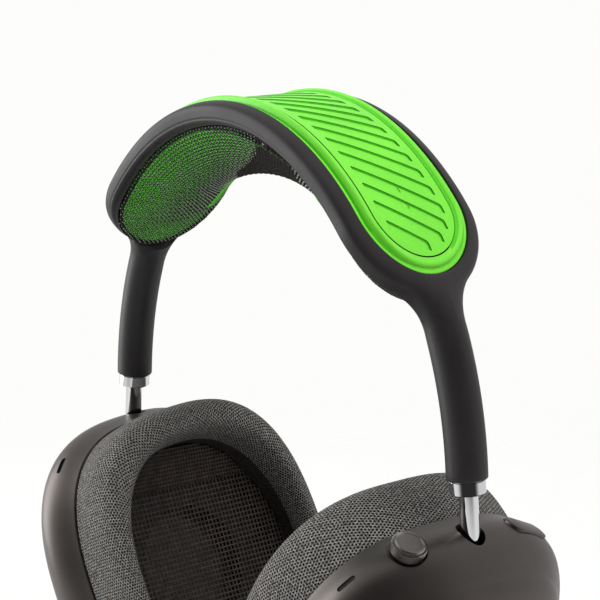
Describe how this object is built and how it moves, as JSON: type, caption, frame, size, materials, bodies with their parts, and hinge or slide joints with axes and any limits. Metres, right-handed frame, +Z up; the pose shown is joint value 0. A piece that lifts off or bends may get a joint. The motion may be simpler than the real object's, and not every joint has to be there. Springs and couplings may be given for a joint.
{
  "type": "over-ear headset",
  "caption": "Over-ear wireless headset: oval headband with knit canopy and green silicone cover, telescoping stems, tilting metal ear cups with knit cushions.",
  "frame": {"origin": "the point of the canopy that rests on the top of the wearer's head, at the middle of the headband", "axes": "+Z up through the middle of the headband, +X to the wearer's right, +Y to the wearer's front"},
  "size_m": [0.1584, 0.0831, 0.1897],
  "materials": {
    "soft_touch": "soft-touch coating",
    "canopy_knit": "open knit",
    "silicone": "satin silicone",
    "chrome": "polished",
    "pom": "moulded",
    "black_plastic": "moulded",
    "steel": "rolled",
    "shell_metal": "bead-blasted and anodised",
    "magnet": "plated",
    "film": "pressed film",
    "board": "solder mask",
    "cushion_knit": "knit over foam",
    "liner_mesh": "open acoustic mesh",
    "bronze": "sintered",
    "foil": "laminate pouch"
  },
  "bodies": {
    "headband": {"headband_frame": "soft_touch", "right_arm_tube": "soft_touch", "left_arm_tube": "soft_touch", "canopy_hoop": "steel", "canopy": "canopy_knit", "right_collar": "chrome", "left_collar": "chrome", "right_guide_bush": "pom", "left_guide_bush": "pom"},
    "cover": {"silicone_cover": "silicone"},
    "right_arm": {"right_stem": "chrome", "right_stem_glide": "black_plastic", "right_stem_clip": "steel"},
    "right_hub": {"right_yoke": "steel", "right_tilt_pin": "steel"},
    "right_cup": {"right_hinge_bracket": "steel", "right_tilt_spring": "steel", "right_shell": "shell_metal", "right_baffle": "black_plastic", "right_driver_basket": "black_plastic", "right_driver_magnet": "magnet", "right_diaphragm": "film", "right_baffle_screws": "steel", "right_circuit_board": "board", "right_mic_screen": "steel", "crown_bush": "black_plastic", "button_switch": "board", "charging_port": "steel"},
    "right_pad": {"right_cushion_plate": "black_plastic", "right_cushion": "cushion_knit", "right_acoustic_liner": "liner_mesh"},
    "left_arm": {"left_stem": "chrome", "left_stem_glide": "black_plastic", "left_stem_clip": "steel"},
    "left_hub": {"left_yoke": "steel", "left_tilt_pin": "steel"},
    "left_cup": {"left_hinge_bracket": "steel", "left_tilt_spring": "steel", "left_shell": "shell_metal", "left_baffle": "black_plastic", "left_driver_basket": "black_plastic", "left_driver_magnet": "magnet", "left_diaphragm": "film", "left_baffle_screws": "steel", "left_circuit_board": "board", "left_mic_screen": "steel", "battery_cells": "foil"},
    "left_pad": {"left_cushion_plate": "black_plastic", "left_cushion": "cushion_knit", "left_acoustic_liner": "liner_mesh"},
    "crown_carrier": {"crown_sleeve": "bronze"},
    "crown": {"crown_knob": "shell_metal"},
    "button": {"noise_button": "shell_metal"}
  },
  "joints": [
    {"name": "cover_lift", "type": "slide", "parent": "headband", "child": "cover", "axis": [0, 0, 1], "range_m": [0, 0.02]},
    {"name": "right_arm_slide", "type": "slide", "parent": "headband", "child": "right_arm", "axis": [0.1045, 0, -0.9945], "range_m": [-0.005, 0.014]},
    {"name": "right_cup_swivel", "type": "hinge", "parent": "right_arm", "child": "right_hub", "pos_m": [0.07029, 0, -0.08952], "axis": [-0.1045, 0, 0.9945], "range_deg": [-10, 90]},
    {"name": "right_cup_tilt", "type": "hinge", "parent": "right_hub", "child": "right_cup", "pos_m": [0.07029, 0, -0.08952], "axis": [-0.1298, -0.9914, -0.0136], "range_deg": [-2.5, 3], "stiffness_Nm_per_rad": 0.1},
    {"name": "right_cushion_pull", "type": "slide", "parent": "right_cup", "child": "right_pad", "axis": [-0.8916, 0.1107, 0.4391], "range_m": [0, 0.006]},
    {"name": "left_arm_slide", "type": "slide", "parent": "headband", "child": "left_arm", "axis": [-0.1045, 0, -0.9945], "range_m": [-0.005, 0.014]},
    {"name": "left_cup_swivel", "type": "hinge", "parent": "left_arm", "child": "left_hub", "pos_m": [-0.07029, 0, -0.08952], "axis": [-0.1045, 0, -0.9945], "range_deg": [-10, 90]},
    {"name": "left_cup_tilt", "type": "hinge", "parent": "left_hub", "child": "left_cup", "pos_m": [-0.07029, 0, -0.08952], "axis": [-0.1298, 0.9914, 0.0136], "range_deg": [-2.5, 3], "stiffness_Nm_per_rad": 0.1},
    {"name": "left_cushion_pull", "type": "slide", "parent": "left_cup", "child": "left_pad", "axis": [0.8916, 0.1107, 0.4391], "range_m": [0, 0.006]},
    {"name": "crown_press", "type": "slide", "parent": "right_cup", "child": "crown_carrier", "axis": [-0.4339, 0.0692, -0.8983], "range_m": [0, 0.0005], "stiffness_N_per_m": 700, "springref_m": -0.0006},
    {"name": "crown_turn", "type": "hinge", "parent": "crown_carrier", "child": "crown", "pos_m": [0.066, -0.01802, -0.08047], "axis": [0.4339, -0.0692, 0.8983], "continuous": true},
    {"name": "button_press", "type": "slide", "parent": "right_cup", "child": "button", "axis": [-0.4441, -0.404, -0.7998], "range_m": [0, 0.0005], "stiffness_N_per_m": 700, "springref_m": -0.0006}
  ]
}
